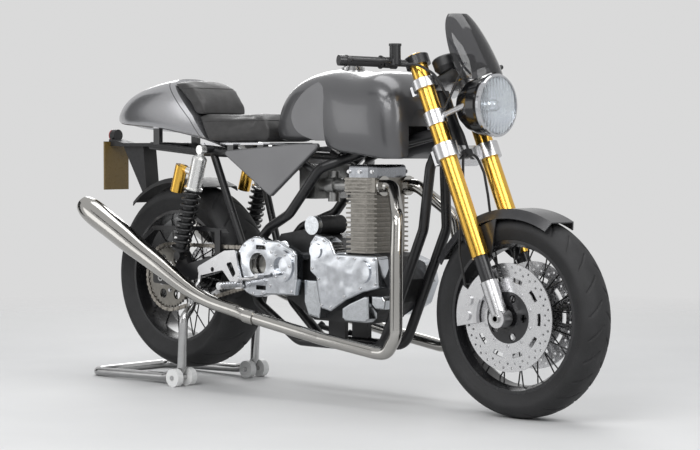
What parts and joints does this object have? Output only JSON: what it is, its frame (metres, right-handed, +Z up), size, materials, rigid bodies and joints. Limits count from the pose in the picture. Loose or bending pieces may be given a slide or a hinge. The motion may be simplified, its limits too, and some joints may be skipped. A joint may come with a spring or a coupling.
{
  "type": "cafe racer motorcycle on a paddock stand",
  "caption": "Air-cooled parallel-twin cafe racer with a humped single seat, clip-on bars, upside-down fork, wire wheels and twin megaphone silencers, held up at the rear by a paddock stand.",
  "frame": {"origin": "the middle of the rear axle, on the motorcycle's centre plane", "axes": "+X forwards, +Y to the rider's left, +Z up with the rear wheel lifted on its stand"},
  "size_m": [2.151, 0.7252, 1.198],
  "materials": {
    "tyre": "matt black road tyre",
    "wheel_black": "satin black rim, hub and spokes",
    "disc_steel": "drilled steel, bright",
    "bright_steel": "polished steel",
    "chain_steel": "oiled steel",
    "machined_silver": "machined and satin",
    "fork_gold": "gold anodised",
    "fork_black": "dark satin",
    "engine_case": "polished cast aluminium",
    "engine_black": "satin black casting",
    "barrel_alloy": "bead-blasted alloy",
    "exhaust": "polished stainless",
    "paint_grey": "grey metallic lacquer",
    "frame_black": "satin black",
    "seat_leather": "dark grained leather",
    "rubber": "matt rubber",
    "black_plastic": "satin black",
    "smoke_screen": "dark smoked",
    "clear_glass": "clear",
    "red_lens": "red lens",
    "stand_steel": "bright plated tube",
    "stand_white": "pale nylon",
    "spring_silver": "pale coil spring"
  },
  "bodies": {
    "chassis": {"frame": "frame_black", "swingarm": "frame_black", "crankcase": "engine_black", "cylinder_barrel": "barrel_alloy", "cylinder_head": "barrel_alloy", "timing_cover": "engine_case", "gearbox_cover": "engine_case", "primary_cover": "engine_case", "intake": "machined_silver", "exhaust_pipe_right": "exhaust", "exhaust_pipe_left": "exhaust", "silencer_right": "exhaust", "silencer_left": "exhaust", "fuel_tank": "paint_grey", "fuel_cap": "bright_steel", "tail_cowl": "paint_grey", "seat_pad": "seat_leather", "back_pad": "seat_leather", "side_cover_right": "paint_grey", "side_cover_left": "paint_grey", "shock_right": "spring_silver", "shock_left": "spring_silver", "drive_chain": "chain_steel", "rear_guard": "black_plastic", "tail_lamp": "red_lens", "footrest_right": "machined_silver", "footrest_left": "machined_silver", "rear_axle": "bright_steel", "rear_caliper": "machined_silver", "paddock_stand": "stand_steel", "stand_wheels": "stand_white", "front_sprocket": "chain_steel", "springs": "frame_black"},
    "steering": {"lower_yoke": "machined_silver", "upper_yoke": "machined_silver", "fork_tubes": "fork_gold", "fork_legs": "fork_black", "front_axle": "bright_steel", "front_calipers": "machined_silver", "front_mudguard": "black_plastic", "headlamp": "black_plastic", "headlamp_lens": "clear_glass", "fly_screen": "smoke_screen", "handlebar_right": "fork_black", "handlebar_left": "fork_black", "grips": "rubber", "controls_right": "machined_silver", "controls_left": "machined_silver", "instruments": "black_plastic", "axle_clamps": "machined_silver", "lamp_brackets": "bright_steel", "brake_hoses": "rubber"},
    "front_wheel_set": {"front_tyre": "tyre", "front_wheel": "wheel_black", "front_discs": "disc_steel"},
    "rear_wheel_set": {"rear_tyre": "tyre", "rear_wheel": "wheel_black", "rear_disc": "disc_steel", "rear_sprocket": "chain_steel"},
    "side_stand": {"side_stand": "frame_black"}
  },
  "joints": [
    {"name": "steering_head", "type": "hinge", "parent": "chassis", "child": "steering", "pos_m": [1.38678, 0, -0.07168], "axis": [-0.3907, 0, 0.9205], "range_deg": [-27, 27]},
    {"name": "front_wheel_spin", "type": "hinge", "parent": "steering", "child": "front_wheel_set", "pos_m": [1.419, 0, -0.058], "axis": [0, 1, 0], "continuous": true},
    {"name": "rear_wheel_spin", "type": "hinge", "parent": "chassis", "child": "rear_wheel_set", "pos_m": [0, 0, 0], "axis": [0, 1, 0], "continuous": true},
    {"name": "side_stand_pivot", "type": "hinge", "parent": "chassis", "child": "side_stand", "pos_m": [0.64, 0.081, -0.188], "axis": [-0.2542, -0.7512, -0.6092], "range_deg": [0, 91.3]}
  ]
}
